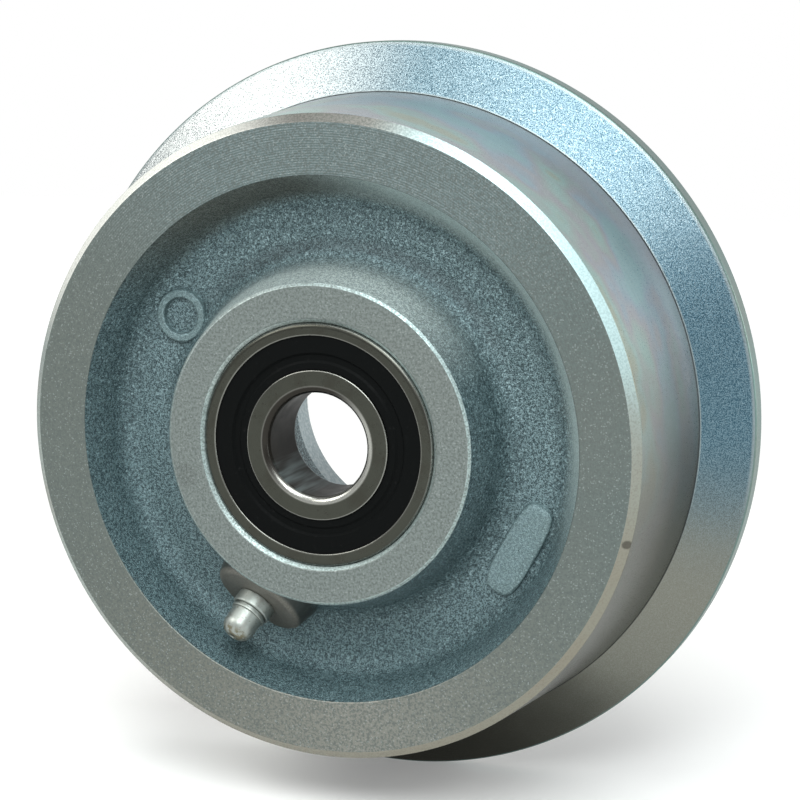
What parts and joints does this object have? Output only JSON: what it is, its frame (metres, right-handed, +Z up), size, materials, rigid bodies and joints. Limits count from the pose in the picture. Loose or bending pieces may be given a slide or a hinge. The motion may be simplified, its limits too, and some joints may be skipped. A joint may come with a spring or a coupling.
{
  "type": "flanged rail wheel",
  "caption": "Zinc-plated cast rail wheel with a side flange and tapered tread, turning on a sealed ball bearing, with an angled grease nipple on its hub.",
  "frame": {"origin": "on the wheel's axis of rotation, at the middle of the hub's length, which is the middle of the part's box", "axes": "+Y along the axis of rotation from the bearing side towards the flange side, +Z up, front face of the wheel towards -Y"},
  "size_m": [0.15, 0.052, 0.15],
  "materials": {
    "zinc_casting": "zinc plated and blue passivated, rough cast web and turned faces",
    "bearing_steel": "ground",
    "seal_rubber": "satin",
    "cage_steel": "pressed sheet",
    "ball_steel": "polished",
    "nipple_steel": "zinc plated, bright",
    "spring_steel": "drawn wire"
  },
  "bodies": {
    "axle_side": {"bearing_inner_ring": "bearing_steel"},
    "wheel": {"wheel_casting": "zinc_casting", "bearing_outer_ring": "bearing_steel", "front_seal": "seal_rubber", "rear_seal": "seal_rubber", "grease_nipple_body": "nipple_steel", "grease_nipple_spring": "spring_steel"},
    "cage": {"cage_front_half": "cage_steel", "cage_rear_half": "cage_steel", "cage_rivets": "cage_steel"},
    "ball_1": {"bearing_ball_1": "ball_steel"},
    "ball_2": {"bearing_ball_2": "ball_steel"},
    "ball_3": {"bearing_ball_3": "ball_steel"},
    "ball_4": {"bearing_ball_4": "ball_steel"},
    "ball_5": {"bearing_ball_5": "ball_steel"},
    "ball_6": {"bearing_ball_6": "ball_steel"},
    "ball_7": {"bearing_ball_7": "ball_steel"},
    "ball_8": {"bearing_ball_8": "ball_steel"},
    "nipple_valve": {"grease_nipple_ball": "ball_steel"}
  },
  "joints": [
    {"name": "wheel_spin", "type": "hinge", "parent": "axle_side", "child": "wheel", "pos_m": [0, 0, 0], "axis": [0, 1, 0], "continuous": true},
    {"name": "cage_spin", "type": "hinge", "parent": "axle_side", "child": "cage", "pos_m": [0, 0, 0], "axis": [0, 1, 0], "continuous": true},
    {"name": "ball_1_roll", "type": "hinge", "parent": "cage", "child": "ball_1", "pos_m": [0.01675, -0.0188, 0], "axis": [0, 1, 0], "continuous": true},
    {"name": "ball_2_roll", "type": "hinge", "parent": "cage", "child": "ball_2", "pos_m": [0.01184, -0.0188, 0.01184], "axis": [0, 1, 0], "continuous": true},
    {"name": "ball_3_roll", "type": "hinge", "parent": "cage", "child": "ball_3", "pos_m": [0, -0.0188, 0.01675], "axis": [0, 1, 0], "continuous": true},
    {"name": "ball_4_roll", "type": "hinge", "parent": "cage", "child": "ball_4", "pos_m": [-0.01184, -0.0188, 0.01184], "axis": [0, 1, 0], "continuous": true},
    {"name": "ball_5_roll", "type": "hinge", "parent": "cage", "child": "ball_5", "pos_m": [-0.01675, -0.0188, 0], "axis": [0, 1, 0], "continuous": true},
    {"name": "ball_6_roll", "type": "hinge", "parent": "cage", "child": "ball_6", "pos_m": [-0.01184, -0.0188, -0.01184], "axis": [0, 1, 0], "continuous": true},
    {"name": "ball_7_roll", "type": "hinge", "parent": "cage", "child": "ball_7", "pos_m": [0, -0.0188, -0.01675], "axis": [0, 1, 0], "continuous": true},
    {"name": "ball_8_roll", "type": "hinge", "parent": "cage", "child": "ball_8", "pos_m": [0.01184, -0.0188, -0.01184], "axis": [0, 1, 0], "continuous": true},
    {"name": "nipple_valve_slide", "type": "slide", "parent": "wheel", "child": "nipple_valve", "axis": [0.3176, 0.6691, 0.6719], "range_m": [0, 0.0008], "stiffness_N_per_m": 100, "springref_m": -0.001, "deforming": ["grease_nipple_spring"]}
  ],
  "couplings": [
    {"joint": "cage_spin", "follows": "wheel_spin", "ratio": 0.61848},
    {"joint": "ball_1_roll", "follows": "wheel_spin", "ratio": 1.9916},
    {"joint": "ball_2_roll", "follows": "wheel_spin", "ratio": 1.9916},
    {"joint": "ball_3_roll", "follows": "wheel_spin", "ratio": 1.9916},
    {"joint": "ball_4_roll", "follows": "wheel_spin", "ratio": 1.9916},
    {"joint": "ball_5_roll", "follows": "wheel_spin", "ratio": 1.9916},
    {"joint": "ball_6_roll", "follows": "wheel_spin", "ratio": 1.9916},
    {"joint": "ball_7_roll", "follows": "wheel_spin", "ratio": 1.9916},
    {"joint": "ball_8_roll", "follows": "wheel_spin", "ratio": 1.9916}
  ]
}
